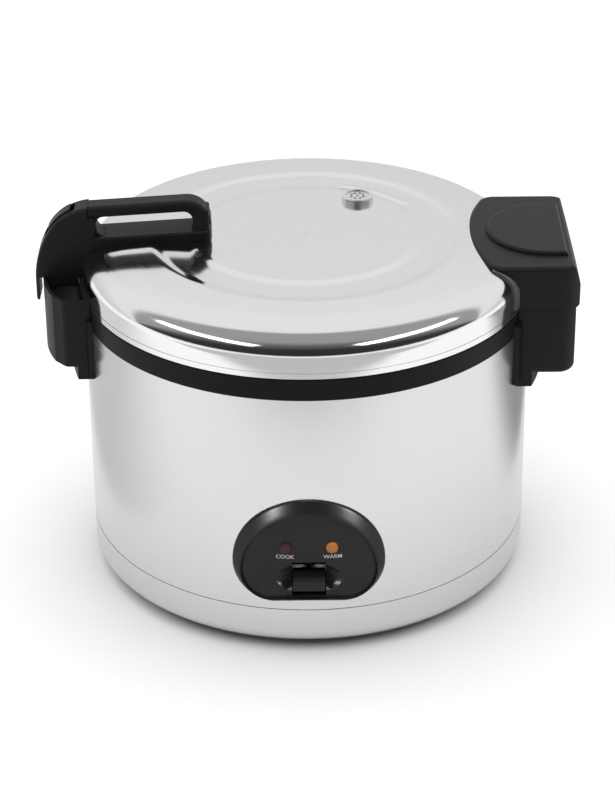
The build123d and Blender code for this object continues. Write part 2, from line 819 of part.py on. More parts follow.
with BuildPart() as hinge_base:
    with BuildSketch(Plane.XY.offset(hinge_base_low)):
        add(bowed_plan(base_reach, hinge_half_width - 2, 150, 14))
    extrude(amount=hinge_base_top - hinge_base_low)
    fillet(hinge_base.faces().sort_by(Axis.Z)[0].edges().sort_by(Axis.X)[-1], 6)
    with BuildSketch(Plane.XY.offset(hinge_flange_low)):
        Circle(body_radius + flange_thick + 8)
        Circle(body_radius - 1, mode=Mode.SUBTRACT)
        with Locations((190, 0)):
            Rectangle(60, 2 * hinge_half_width - 4, mode=Mode.INTERSECT)
    extrude(amount=hinge_base_low - hinge_flange_low + 12)
    with BuildSketch(Plane.XY.offset(hinge_flange_low + 6)):
        Circle(body_radius + flange_thick)
        Circle(body_radius - 1, mode=Mode.SUBTRACT)
        with Locations((190, 0)):
            Rectangle(80, 2 * hinge_half_width + 14, mode=Mode.INTERSECT)
    extrude(amount=54)
    with BuildSketch(Plane.XY.offset(hinge_flange_low - 5)):
        add(bowed_plan(base_reach - recess_wall, 52, recess_inner_x, 6))
    extrude(amount=block_web - hinge_flange_low + 5, mode=Mode.SUBTRACT)
    add(body_envelope.part, mode=Mode.SUBTRACT)
    with BuildSketch(Plane.XY.offset(notch_z)):
        with Locations((notch_x + 10, 0)):
            Rectangle(20, 200)
    extrude(amount=10, mode=Mode.SUBTRACT)
    with BuildSketch(Plane.XZ.offset(-cover_knuckle - 1)):
        with Locations((hinge_x, hinge_z)):
            Circle(trough_radius)
    extrude(amount=2 * cover_knuckle + 2, mode=Mode.SUBTRACT)
    with BuildSketch(Plane.XZ.offset(-base_knuckle)):
        with Locations((hinge_x, hinge_z)):
            Circle(knuckle_radius)
        with Locations((hinge_x - 1.5, hinge_z - 5.5)):
            Rectangle(6, 9)
    extrude(amount=2 * base_knuckle)
    with BuildSketch(Plane.XZ.offset(-cover_knuckle)):
        with Locations((hinge_x, hinge_z)):
            Circle(pin_radius)
    extrude(amount=2 * cover_knuckle, mode=Mode.SUBTRACT)
    with BuildSketch(Plane.YZ.offset(183)):
        with Locations((-side_screw_y, screw_z), (side_screw_y, screw_z)):
            Circle(2)
    extrude(amount=19, mode=Mode.SUBTRACT)
hinge_base.part.label = "hinge_base"
export_step(hinge_base.part, "parts/hinge_base.step")

with BuildPart() as hinge_pin:
    with BuildSketch(Plane.XZ.offset(-pin_half)):
        with Locations((hinge_x, hinge_z)):
            Circle(pin_radius)
    extrude(amount=2 * pin_half)
    chamfer(hinge_pin.faces().filter_by(Axis.Y).edges(), 0.5)
hinge_pin.part.label = "hinge_pin"
export_step(hinge_pin.part, "parts/hinge_pin.step")

# ---- Lid shell and what closes it ---------------------------------------------------------

vent_hole = 8.2
handle_screw_x = (-88.0, -150.0)
cover_screw_at = ((172.0, -45.0), (172.0, 45.0))


def lid_line():
    """Outer line of the lid from its centre out and down to the skirt's lower edge."""
    groove_z = crown_z - groove_depth
    with BuildLine() as line:
        FilletPolyline(
            (0, crown_z),
            (plateau_radius, crown_z),
            (plateau_radius + groove_flank, groove_z),
            (crown_radius - groove_flank, groove_z),
            (crown_radius, crown_z),
            (crown_bend_radius, crown_z - crown_bend_fall),
            (body_radius, crown_z - crown_fall),
            (body_radius, rim_top),
            radius=[1.5, 1.5, 1.5, 2, 220, shoulder_radius],
        )
    return line.line


with BuildPart() as lid_solid:
    with BuildSketch(Plane.XZ):
        with BuildLine():
            add(lid_line())
            Polyline((body_radius, rim_top), (body_radius, rim_bottom), (0, rim_bottom), (0, crown_z))
        make_face()
    revolve()

with BuildPart() as lid_shell:
    with BuildSketch(Plane.XZ):
        with BuildLine():
            add(lid_line())
            offset(amount=sheet, side=Side.RIGHT)
        make_face()
    revolve()
    with BuildSketch(Plane.XY.offset(crown_z - groove_depth - 0.5)):
        SlotArc(CenterArc((0, 0), 106, 37, 35), 6.5)
    extrude(amount=1.3)
    with BuildSketch(Plane.XY.offset(crown_z - 20)):
        with Locations((vent_x, vent_y)):
            Circle(vent_hole)
        with Locations(*[(x, 0) for x in handle_screw_x], *cover_screw_at):
            Circle(2.1)
    extrude(amount=40, mode=Mode.SUBTRACT)
lid_shell.part.label = "lid_shell"
export_step(lid_shell.part, "parts/lid_shell.step")

pan_z = rim_bottom + 3.0
pan_radius = 183.8

with BuildPart() as lid_rim_ring:
    with BuildSketch(Plane.XZ):
        with BuildLine():
            Polyline(
                (160, rim_bottom),
                (body_radius - 0.6, rim_bottom),
                (body_radius, rim_bottom + 0.6),
                (body_radius, rim_top - 0.5),
                (body_radius - sheet, rim_top - 0.5),
                (body_radius - sheet, rim_top + 8),
                (pan_radius, rim_top + 8),
                (pan_radius, pan_z),
                (160, pan_z),
                close=True,
            )
        make_face()
    revolve()
lid_rim_ring.part.label = "lid_rim_ring"
export_step(lid_rim_ring.part, "parts/lid_rim_ring.step")

with BuildPart() as lid_pan:
    with BuildSketch(Plane.XY.offset(pan_z)):
        Circle(pan_radius)
        Circle(5.05, mode=Mode.SUBTRACT)
        with Locations((vent_x, vent_y)):
            Circle(vent_hole, mode=Mode.SUBTRACT)
        with PolarLocations(172, 8, start_angle=22.5):
            Circle(1.6, mode=Mode.SUBTRACT)
    extrude(amount=0.8)
lid_pan.part.label = "lid_pan"
export_step(lid_pan.part, "parts/lid_pan.step")

with BuildPart() as lid_pan_screws:
    with BuildSketch(Plane.XY.offset(pan_z + 0.8)):
        with PolarLocations(172, 8, start_angle=22.5):
            Circle(3)
    extrude(amount=1.8)
    with BuildSketch(Plane.XY.offset(pan_z)):
        with PolarLocations(172, 8, start_angle=22.5):
            Circle(1.5)
    extrude(amount=0.8)
lid_pan_screws.part.label = "lid_pan_screws"
export_step(lid_pan_screws.part, "parts/lid_pan_screws.step")

insulation_low = pan_z + 1.8

with BuildPart() as lid_insulation:
    with BuildSketch(Plane.XY.offset(insulation_low)):
        Circle(160)
        Circle(12, mode=Mode.SUBTRACT)
        with Locations((vent_x, vent_y)):
            Circle(14, mode=Mode.SUBTRACT)
    extrude(amount=18)
    fillet(lid_insulation.faces().sort_by(Axis.Z)[-1].edges().sort_by(SortBy.LENGTH)[-1], 8)
lid_insulation.part.label = "lid_insulation"
export_step(lid_insulation.part, "parts/lid_insulation.step")

gasket_low = pot_rest + pot_wall + 0.4

with BuildPart() as lid_gasket:
    with BuildSketch(Plane.XZ):
        with BuildLine():
            Polyline(
                (161, rim_bottom),
                (170.5, rim_bottom),
                (171, gasket_low + 3),
                (169.5, gasket_low),
                (167.5, gasket_low),
                (166.5, gasket_low + 3),
                (161, gasket_low + 3),
                close=True,
            )
        make_face()
    revolve()
lid_gasket.part.label = "lid_gasket"
export_step(lid_gasket.part, "parts/lid_gasket.step")

inner_lid_z = gasket_low + 0.8

with BuildPart() as inner_lid:
    with BuildSketch(Plane.XZ):
        with BuildLine():
            FilletPolyline(
                (0, inner_lid_z),
                (138, inner_lid_z),
                (146, inner_lid_z - 3),
                (159, inner_lid_z - 3),
                radius=3,
            )
            offset(amount=1.5, side=Side.LEFT)
        make_face()
    revolve()
    with BuildSketch(Plane.XY.offset(inner_lid_z - 5)):
        Circle(5.1)
        with Locations((vent_x, vent_y)):
            with PolarLocations(6, 6):
                Circle(2)
    extrude(amount=10, mode=Mode.SUBTRACT)
inner_lid.part.label = "inner_lid"
export_step(inner_lid.part, "parts/inner_lid.step")

with BuildPart() as inner_lid_knob:
    with BuildSketch(Plane.XY.offset(inner_lid_z - 8)):
        Circle(13)
    extrude(amount=8)
    fillet(inner_lid_knob.faces().sort_by(Axis.Z)[0].edges(), 3)
    with BuildSketch(Plane.XY.offset(inner_lid_z)):
        Circle(5)
    extrude(amount=pan_z + 0.8 - inner_lid_z)
    with BuildSketch(Plane.XY.offset(pan_z + 0.8)):
        Circle(9)
    extrude(amount=3)
inner_lid_knob.part.label = "inner_lid_knob"
export_step(inner_lid_knob.part, "parts/inner_lid_knob.step")

# ---- Steam vent -----------------------------------------------------------------------------

vent_plane = Plane((vent_x, vent_y, 0))
cap_height = 5.0

with BuildPart() as steam_vent_cap:
    with BuildSketch(vent_plane.offset(crown_z)):
        Circle(13.5)
    extrude(amount=cap_height)
    fillet(steam_vent_cap.faces().sort_by(Axis.Z)[-1].edges(), 1.5)
    with BuildSketch(vent_plane.offset(crown_z + cap_height)):
        Circle(10.5)
    extrude(amount=-1.2, mode=Mode.SUBTRACT)
    with BuildSketch(vent_plane.offset(crown_z)):
        Circle(8.6)
    extrude(amount=2.6, mode=Mode.SUBTRACT)
    with BuildSketch(vent_plane.offset(crown_z)):
        Circle(1.3)
        with PolarLocations(5.6, 8, start_angle=22.5):
            Circle(1.3)
    extrude(amount=cap_height, mode=Mode.SUBTRACT)
steam_vent_cap.part.label = "steam_vent_cap"
export_step(steam_vent_cap.part, "parts/steam_vent_cap.step")

with BuildPart() as vent_tube:
    with BuildSketch(vent_plane.offset(inner_lid_z + 1.6)):
        Circle(8)
        Circle(6.8, mode=Mode.SUBTRACT)
    extrude(amount=crown_z + 2 - inner_lid_z - 1.6)
    with BuildSketch(vent_plane.offset(pan_z + 0.8)):
        Circle(11)
        Circle(7, mode=Mode.SUBTRACT)
    extrude(amount=1.5)
vent_tube.part.label = "vent_tube"
export_step(vent_tube.part, "parts/vent_tube.step")

# ---- Hinge cover and its bracket --------------------------------------------------------------

cover_bottom = hinge_base_top + 0.6
cover_top = floor_gap + 291.0
pad_height = 3.5
bracket_sheet = 1.5
bracket_half = 25.5              # degrees each side of +X
tongue_x = 137.0
cover_wall = 3.5

with BuildPart() as hinge_bracket:
    with BuildSketch(Plane.XZ.rotated((0, 0, -bracket_half))):
        with BuildLine():
            add(lid_line())
            offset(amount=bracket_sheet, side=Side.LEFT)
        make_face()
    revolve(revolution_arc=2 * bracket_half)
    with BuildSketch(Plane.XY.offset(rim_top - 1)):
        Circle(body_radius + 5)
        Circle(169, mode=Mode.SUBTRACT)
    extrude(amount=60, mode=Mode.INTERSECT)
    with BuildSketch(Plane.XY.offset(rim_top)):
        with Locations(*cover_screw_at):
            Circle(2.1)
    extrude(amount=60, mode=Mode.SUBTRACT)
hinge_bracket.part.label = "hinge_bracket"
export_step(hinge_bracket.part, "parts/hinge_bracket.step")

with BuildPart() as cover_plan:
    with BuildSketch(Plane.XY.offset(cover_bottom)) as cover_outline:
        with BuildLine():
            outer_x = cover_reach - hinge_bow
            nose = ThreePointArc((150, 66), (tongue_x, 0), (150, -66))
            low = TangentArc((150, -66), (163.4, -hinge_half_width), tangent=nose % 1)
            mirror(low, about=Plane.XZ)
            back = ThreePointArc(
                (outer_x, -hinge_half_width), (cover_reach, 0), (outer_x, hinge_half_width)
            )
            Line(low @ 1, back @ 0)
            Line((163.4, hinge_half_width), back @ 1)
        make_face()
        fillet(cover_outline.vertices().group_by(Axis.X)[-1], 16)
    extrude(amount=cover_top - cover_bottom)
    with BuildSketch(Plane.XZ.offset(-hinge_half_width - 1)):
        with BuildLine():
            Polyline(
                (cover_top_reach, cover_top + 1),
                (cover_reach, cover_bottom + 8),
                (cover_reach + 9, cover_bottom + 8),
                (cover_reach + 9, cover_top + 1),
                close=True,
            )
        make_face()
    extrude(amount=2 * hinge_half_width + 2, mode=Mode.SUBTRACT)
    fillet(cover_plan.faces().sort_by(Axis.Z)[-1].edges(), 4)

with BuildPart() as hinge_cover:
    add(cover_plan.part)
    with BuildSketch(Plane.XY.offset(cover_top - 1)):
        with Locations((203, 0)):
            Circle(51)
        with Locations((203, 0)):
            Rectangle(60, 102, align=(Align.MIN, Align.CENTER))
        with Locations((cover_top_reach - 4, 0)):
            Rectangle(80, 120, align=(Align.MAX, Align.CENTER), mode=Mode.INTERSECT)
    extrude(amount=1 + pad_height)
    fillet(hinge_cover.faces().sort_by(Axis.Z)[-1].edges(), 3)
    with BuildSketch(Plane.XY.offset(cover_bottom - 1)):
        add(bowed_plan(cover_top_reach - cover_wall, hinge_half_width - cover_wall, body_radius + 4, 7))
    extrude(amount=cover_top - cover_wall - cover_bottom + 1, mode=Mode.SUBTRACT)
    with BuildSketch(Plane.XZ.offset(-cover_knuckle)):
        with Locations((hinge_x, hinge_z)):
            Circle(knuckle_radius)
        with Locations((hinge_x + 2, hinge_z + 5)):
            Rectangle(5, 10)
    extrude(amount=2 * cover_knuckle)
    add(lid_solid.part, mode=Mode.SUBTRACT)
    add(hinge_bracket.part, mode=Mode.SUBTRACT)
    with BuildSketch(Plane.XZ.offset(-base_knuckle - 0.5)):
        with Locations((hinge_x, hinge_z)):
            Circle(knuckle_radius + 0.6)
        with Locations((hinge_x + 3, hinge_z)):
            Rectangle(12, 12)
    extrude(amount=2 * base_knuckle + 1, mode=Mode.SUBTRACT)
    with BuildSketch(Plane.XZ.offset(-cover_knuckle - 1)):
        with Locations((hinge_x, hinge_z)):
            Circle(pin_radius + 0.05)
    extrude(amount=2 * cover_knuckle + 2, mode=Mode.SUBTRACT)
    with BuildSketch(Plane.XY.offset(rim_top)):
        with Locations(*cover_screw_at):
            Circle(2)
    extrude(amount=32, mode=Mode.SUBTRACT)
hinge_cover.part.label = "hinge_cover"
export_step(hinge_cover.part, "parts/hinge_cover.step")

# ---- Lid handle ---------------------------------------------------------------------------------

opening_bottom = frame_top
opening_top = grip_top - grip_thick
opening_mid_x = (opening_left + opening_right) / 2
frame_left = -177.5
frame_right = -80.0
arm_half = 12.5
arm_start_x = seam_x - 0.3
arm_outer_x = -230.0
arm_start_slope = 6.0            # degrees below level where the arm leaves the grip
arm_turn = 55.0                  # slope at the end of the arm's tighter upper bend
arm_upper_radius = 44.5
arm_upper_run = arm_upper_radius * (sin(radians(arm_turn)) - sin(radians(arm_start_slope)))
arm_lower_radius = (arm_start_x - arm_outer_x - arm_upper_run) / (1 - sin(radians(arm_turn)))
skirt_low = floor_gap + 236.0
skirt_inner_x = -227.0
arm_under = latch_block_top + 0.8
arm_dip = 258.0                  # underside of the arm where it reaches into the latch well
arm_dip_x = (-194.5, -219.5)


def tilted(x, height):
    """Height at x of a handle line that is level with height at the handle's inner end."""
    return height + (x - opening_right) * tan(radians(grip_tilt))


with BuildPart() as hand_opening:
    with BuildSketch(Plane.XZ.offset(-50)):
        with Locations((opening_mid_x, tilted(opening_mid_x, (opening_bottom + opening_top) / 2))):
            RectangleRounded(
                opening_right - opening_left, opening_top - opening_bottom, 7.5, rotation=grip_tilt
            )
    extrude(amount=100)

with BuildPart() as handle_frame:
    with BuildSketch(Plane.XZ.offset(-handle_width / 2)):
        with BuildLine():
            Polyline(
                (frame_left, 280),
                (frame_right, 280),
                (frame_right, tilted(frame_right, frame_top)),
                (frame_left, tilted(frame_left, frame_top)),
                close=True,
            )
        make_face()
    extrude(amount=handle_width)
    fillet(handle_frame.edges().filter_by(Axis.Z).group_by(Axis.X)[-1], 6)
    fillet(handle_frame.faces().sort_by(Axis.Z)[-1].edges().filter_by(Axis.Y, reverse=True), 2)
    add(lid_solid.part, mode=Mode.SUBTRACT)
    for screw_x, hole_top in zip(handle_screw_x, (frame_top + 1, crown_z + 2)):
        with BuildSketch(Plane.XY.offset(hole_top)):
            with Locations((screw_x, 0)):
                Circle(2)
        extrude(amount=-30, mode=Mode.SUBTRACT)
handle_frame.part.label = "handle_frame"
export_step(handle_frame.part, "parts/handle_frame.step")

post_x = (opening_right + frame_right) / 2

with BuildPart() as handle_grip:
    with BuildSketch(Plane.XZ.offset(-grip_width / 2)) as grip_outline:
        with BuildLine():
            Polyline(
                (seam_x, tilted(seam_x, opening_top)),
                (seam_x, tilted(seam_x, grip_top)),
                (frame_right, tilted(frame_right, grip_top)),
                (frame_right, opening_top - 13),
                (opening_right - 8, opening_top - 13),
                (opening_right - 8, tilted(opening_right - 8, opening_top)),
                close=True,
            )
        make_face()
        fillet(grip_outline.vertices().sort_by(Axis.Y)[-1], 20)
    extrude(amount=grip_width)
    grip_edges = handle_grip.faces().filter_by(Axis.Y).edges()
    fillet(grip_edges.filter_by(GeomType.CIRCLE) + grip_edges.group_by(Axis.Z)[-1], 4)
    with BuildSketch(Plane.XY.offset(frame_top)):
        with Locations((post_x - 1, 0)):
            RectangleRounded(15, handle_width - 4, 4)
    with BuildSketch(Plane.XY.offset(opening_top)):
        with Locations((post_x - 1, 0)):
            RectangleRounded(14, grip_width, 4)
    loft()
    add(handle_frame.part, mode=Mode.SUBTRACT)
    add(hand_opening.part, mode=Mode.SUBTRACT)
    with BuildSketch(Plane.XY.offset(frame_top)):
        with Locations((handle_screw_x[0], 0)):
            Circle(2)
    extrude(amount=12, mode=Mode.SUBTRACT)
handle_grip.part.label = "handle_grip"
export_step(handle_grip.part, "parts/handle_grip.step")

with BuildPart() as latch_pocket:
    with BuildSketch(Plane.XZ.offset(-7.2)):
        with BuildLine():
            Polyline(
                (-222.5, 255),
                (-222.5, 285),
                (-217.5, 297),
                (-232, 306),
                (-208, 340),
                (-193.8, 334),
                (-195.5, 308),
                (-200, 295),
                (-203, 270),
                (-203, 255),
                close=True,
            )
        make_face()
    extrude(amount=14.4)

with BuildPart() as handle_arm:
    with BuildSketch(Plane.XZ.offset(-arm_half)):
        with BuildLine():
            heading = (-cos(radians(arm_start_slope)), -sin(radians(arm_start_slope)))
            start = (arm_start_x, tilted(arm_start_x, grip_top))
            upper = JernArc(start, heading, arm_upper_radius, arm_turn - arm_start_slope)
            lower = JernArc(upper @ 1, upper % 1, arm_lower_radius, 90 - arm_turn)
            Polyline(
                lower @ 1,
                ((lower @ 1).X, skirt_low),
                (frame_left, skirt_low),
                (frame_left, tilted(arm_start_x, opening_top)),
                (arm_start_x, tilted(arm_start_x, opening_top)),
                upper @ 0,
            )
        make_face()
    extrude(amount=2 * arm_half)
    arm_edges = handle_arm.faces().filter_by(Axis.Y).edges()
    fillet(arm_edges.filter_by(GeomType.CIRCLE) + arm_edges.filter_by(Axis.Z).group_by(Axis.X)[0], 4)
    with BuildSketch(Plane.XZ.offset(-arm_half - 1)):
        with BuildLine():
            Polyline(
                (skirt_inner_x, skirt_low - 1),
                (skirt_inner_x, arm_under),
                (arm_dip_x[1], arm_under),
                (arm_dip_x[1], arm_dip),
                (arm_dip_x[0], arm_dip),
                (arm_dip_x[0], arm_under),
                (-170, arm_under),
                (-170, skirt_low - 1),
                close=True,
            )
        make_face()
    extrude(amount=2 * arm_half + 2, mode=Mode.SUBTRACT)
    with BuildSketch(Plane.XZ.offset(-grip_width / 2)):
        with BuildLine():
            Polyline(
                (frame_left, tilted(frame_left, frame_top)),
                (opening_left + 8, tilted(opening_left + 8, frame_top)),
                (opening_left + 8, tilted(opening_left + 8, opening_top)),
                (frame_left, tilted(frame_left, opening_top)),
                close=True,
            )
        make_face()
    extrude(amount=grip_width)
    add(lid_solid.part, mode=Mode.SUBTRACT)
    add(hand_opening.part, mode=Mode.SUBTRACT)
    add(latch_pocket.part, mode=Mode.SUBTRACT)
    with BuildSketch(Plane.XZ.offset(-arm_half + 2)):
        with Locations((latch_x, latch_z)):
            Circle(pin_radius)
    extrude(amount=2 * arm_half - 4, mode=Mode.SUBTRACT)
handle_arm.part.label = "handle_arm"
export_step(handle_arm.part, "parts/handle_arm.step")

with BuildPart() as handle_screws:
    with BuildSketch(Plane.XY.offset(crown_z - groove_depth - 1)):
        with Locations((handle_screw_x[0], 0)):
            Circle(2)
    extrude(amount=14)
    with BuildSketch(Plane.XY.offset(crown_z - 6)):
        with Locations((handle_screw_x[1], 0)):
            Circle(2)
    extrude(amount=8)
    with BuildSketch(Plane.XY.offset(crown_z - sheet)):
        with Locations((handle_screw_x[0], 0)):
            Circle(4)
    extrude(amount=-2.5)
    with BuildSketch(Plane.XY.offset(crown_z - 6)):
        with Locations((handle_screw_x[1], 0)):
            Circle(4)
    extrude(amount=-2.5)
handle_screws.part.label = "handle_screws"
export_step(handle_screws.part, "parts/handle_screws.step")

# ---- Latch ----------------------------------------------------------------------------------------

latch_half = 6.0

coil_start_y = 3.2

with BuildPart() as latch_lever:
    with BuildSketch(Plane.XZ.offset(-latch_half)):
        with BuildLine():
            Polyline(
                (-206.5, 292),
                (-204, 309),
                (-209, 309),
                (-213.5, 292),
                (-215.5, 282),
                (-215.5, 250.4),
                (-209.6, 250.4),
                (-210.8, 253.6),
                (-213, 254.2),
                (-213, 281),
                (-206.5, 286),
                close=True,
            )
        make_face()
        with Locations((latch_x, latch_z)):
            Circle(5)
            Circle(pin_radius + 0.06, mode=Mode.SUBTRACT)
    extrude(amount=2 * latch_half)
    with BuildSketch(Plane.XZ.offset(-latch_half - 1)):
        with Locations((latch_x, latch_z)):
            Circle(5.4)
    extrude(amount=latch_half + 1 - coil_start_y, mode=Mode.SUBTRACT)
latch_lever.part.label = "latch_lever"
export_step(latch_lever.part, "parts/latch_lever.step")

with BuildPart() as latch_spring:
    with BuildLine():
        coil = Helix(
            pitch=1.0,
            height=2.4,
            radius=3.3,
            center=(latch_x, coil_start_y + 0.6, latch_z),
            direction=(0, 1, 0),
        )
    with BuildSketch(Plane(origin=coil @ 0, z_dir=coil % 0)):
        Circle(0.4)
    sweep(is_frenet=True)
latch_spring.part.label = "latch_spring"
export_step(latch_spring.part, "parts/latch_spring.step")

with BuildPart() as latch_button:
    with BuildSketch(Plane.XZ.offset(-latch_half - 0.8)):
        with BuildLine():
            crest = ThreePointArc((-198.2, 325.3), (-208.6, 318.4), (-217.6, 307.3))
            Polyline(crest @ 1, (-213.5, 303), (-209, 309), (-204, 309), (-198.2, 318), crest @ 0)
        make_face()
    extrude(amount=2 * latch_half + 1.6)
    fillet(latch_button.faces().filter_by(Axis.Y).edges().filter_by(GeomType.CIRCLE), 1.2)
latch_button.part.label = "latch_button"
export_step(latch_button.part, "parts/latch_button.step")

with BuildPart() as latch_pin:
    with BuildSketch(Plane.XZ.offset(-arm_half + 2)):
        with Locations((latch_x, latch_z)):
            Circle(pin_radius)
    extrude(amount=2 * arm_half - 4)
latch_pin.part.label = "latch_pin"
export_step(latch_pin.part, "parts/latch_pin.step")

# ---- Mains inlet ------------------------------------------------------------------------------------

housing_face = inlet_face - 3.0
pin_pitch = 7.0

with BuildPart() as inlet_housing:
    with BuildSketch(Plane.XZ.offset(-150)):
        with Locations((0, inlet_z)):
            RectangleRounded(70, 44, 8)
    extrude(amount=-(housing_face - 150))
    fillet(inlet_housing.faces().sort_by(Axis.Y)[-1].edges(), 2.5)
    with BuildSketch(Plane.XZ.offset(-150)):
        with Locations((0, inlet_z)):
            Rectangle(2 * inlet_cut_half - 1, inlet_cut_height - 1)
        with Locations((-inlet_screw_x, inlet_z), (inlet_screw_x, inlet_z)):
            Circle(1.5)
    extrude(amount=-60, mode=Mode.SUBTRACT)
    add(body_envelope.part, mode=Mode.SUBTRACT)
inlet_housing.part.label = "inlet_housing"
export_step(inlet_housing.part, "parts/inlet_housing.step")

with BuildPart() as inlet_socket:
    with BuildSketch(Plane.XZ.offset(-housing_face)):
        with Locations((0, inlet_z)):
            RectangleRounded(50, 27, 5)
    extrude(amount=-3)
    with BuildSketch(Plane.XZ.offset(-176)):
        with Locations((0, inlet_z)):
            RectangleRounded(28, 20, 2)
    extrude(amount=-(housing_face - 176))
    with BuildSketch(Plane.XZ.offset(-inlet_face)):
        with Locations((0, inlet_z)):
            RectangleRounded(24.5, 16.5, 3)
    extrude(amount=17, mode=Mode.SUBTRACT)
    with BuildSketch(Plane.XZ.offset(-inlet_face)):
        with Locations((-inlet_screw_x, inlet_z), (inlet_screw_x, inlet_z)):
            Circle(3.2)
    extrude(amount=2.2, mode=Mode.SUBTRACT)
    with BuildSketch(Plane.XZ.offset(-inlet_face)):
        with Locations((-inlet_screw_x, inlet_z), (inlet_screw_x, inlet_z)):
            Circle(1.6)
    extrude(amount=5, mode=Mode.SUBTRACT)
inlet_socket.part.label = "inlet_socket"
export_step(inlet_socket.part, "parts/inlet_socket.step")

with BuildPart() as inlet_pins:
    with BuildSketch(Plane.XZ.offset(-(inlet_face - 17))):
        with Locations((-pin_pitch, inlet_z - 2), (0, inlet_z + 2), (pin_pitch, inlet_z - 2)):
            Rectangle(2, 4)
    extrude(amount=-14)
inlet_pins.part.label = "inlet_pins"
export_step(inlet_pins.part, "parts/inlet_pins.step")
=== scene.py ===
import json
from math import acos, cos, hypot, pi, radians, sin, sqrt, tan

import bmesh
import bpy
from mathutils import Matrix, Vector


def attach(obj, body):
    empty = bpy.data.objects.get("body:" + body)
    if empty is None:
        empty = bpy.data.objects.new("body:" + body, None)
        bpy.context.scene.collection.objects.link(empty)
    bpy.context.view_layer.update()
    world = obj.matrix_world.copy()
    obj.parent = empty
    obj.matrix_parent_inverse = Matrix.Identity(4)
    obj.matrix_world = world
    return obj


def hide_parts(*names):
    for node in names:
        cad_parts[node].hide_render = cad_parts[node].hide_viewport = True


# Rice cooker: finishes, smoother outer skins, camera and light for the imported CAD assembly.
# Metres in the CAD's own frame. The skins' own measures are in millimetres until solid() turns them.

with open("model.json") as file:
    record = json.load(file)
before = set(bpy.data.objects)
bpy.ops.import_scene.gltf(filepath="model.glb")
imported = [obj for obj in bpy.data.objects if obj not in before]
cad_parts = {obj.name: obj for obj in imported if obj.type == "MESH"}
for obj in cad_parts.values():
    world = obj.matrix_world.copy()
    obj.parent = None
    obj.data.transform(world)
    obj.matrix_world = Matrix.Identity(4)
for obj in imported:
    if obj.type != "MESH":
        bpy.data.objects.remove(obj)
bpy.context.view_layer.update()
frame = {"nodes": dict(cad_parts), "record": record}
nodes = frame["nodes"]
scene = bpy.context.scene
MM = 0.001


# ---- Materials -----------------------------------------------------------------------------------


class Shader:
    """Thin helper around one material's node tree."""

    def __init__(self, name):
        self.material = bpy.data.materials.new(name)
        self.material.use_nodes = True
        self.tree = self.material.node_tree
        self.surface = self.tree.nodes["Principled BSDF"]

    def node(self, kind, **settings):
        made = self.tree.nodes.new(kind)
        for key, value in settings.items():
            setattr(made, key, value)
        return made

    def link(self, out_socket, in_socket):
        self.tree.links.new(out_socket, in_socket)

    def math(self, operation, first, second):
        made = self.node("ShaderNodeMath", operation=operation)
        for socket, value in zip(made.inputs, (first, second)):
            if isinstance(value, (int, float)):
                socket.default_value = value
            else:
                self.link(value, socket)
        return made.outputs[0]

    def place(self, scale):
        """Object coordinates stretched by a scale on each axis."""
        coordinates = self.node("ShaderNodeTexCoord")
        mapping = self.node("ShaderNodeMapping")
        mapping.inputs["Scale"].default_value = scale
        self.link(coordinates.outputs["Object"], mapping.inputs["Vector"])
        return mapping.outputs["Vector"]

    def turned_place(self, across, along, centre=(0.0, 0.0)):
        """Cylindrical coordinates: lines run round the vertical axis through centre."""
        coordinates = self.node("ShaderNodeTexCoord")
        split = self.node("ShaderNodeSeparateXYZ")
        self.link(coordinates.outputs["Object"], split.inputs[0])
        x = self.math("SUBTRACT", split.outputs[0], centre[0])
        y = self.math("SUBTRACT", split.outputs[1], centre[1])
        squares = self.math("ADD", self.math("MULTIPLY", x, x), self.math("MULTIPLY", y, y))
        radius = self.math("SQRT", squares, 0.0)
        angle = self.math("ARCTAN2", y, x)
        join = self.node("ShaderNodeCombineXYZ")
        self.link(self.math("MULTIPLY", radius, across), join.inputs[0])
        self.link(self.math("MULTIPLY", split.outputs[2], across), join.inputs[1])
        self.link(self.math("MULTIPLY", angle, along), join.inputs[2])
        return join.outputs[0]

    def noise(self, vector, scale, detail=3.0):
        made = self.node("ShaderNodeTexNoise")
        made.inputs["Scale"].default_value = scale
        made.inputs["Detail"].default_value = detail
        self.link(vector, made.inputs["Vector"])
        return made.outputs["Fac"]

    def spread(self, value, low, high):
        made = self.node("ShaderNodeMapRange")
        made.inputs["From Min"].default_value = 0.3
        made.inputs["From Max"].default_value = 0.7
        made.inputs["To Min"].default_value = low
        made.inputs["To Max"].default_value = high
        self.link(value, made.inputs["Value"])
        return made.outputs["Result"]

    def tint(self, value, dark, light):
        made = self.node("ShaderNodeMix", data_type="RGBA")
        self.link(value, made.inputs["Factor"])
        made.inputs["A"].default_value = (*dark, 1)
        made.inputs["B"].default_value = (*light, 1)
        self.link(made.outputs["Result"], self.surface.inputs["Base Color"])

    def bump(self, height, strength, distance, edge=0.0):
        made = self.node("ShaderNodeBump")
        made.inputs["Strength"].default_value = strength
        made.inputs["Distance"].default_value = distance
        self.link(height, made.inputs["Height"])
        if edge:
            soft = self.node("ShaderNodeBevel", samples=4)
            soft.inputs["Radius"].default_value = edge
            self.link(soft.outputs["Normal"], made.inputs["Normal"])
        self.link(made.outputs["Normal"], self.surface.inputs["Normal"])


def lighter(colour, factor):
    return tuple(min(1.0, c * factor) for c in colour)


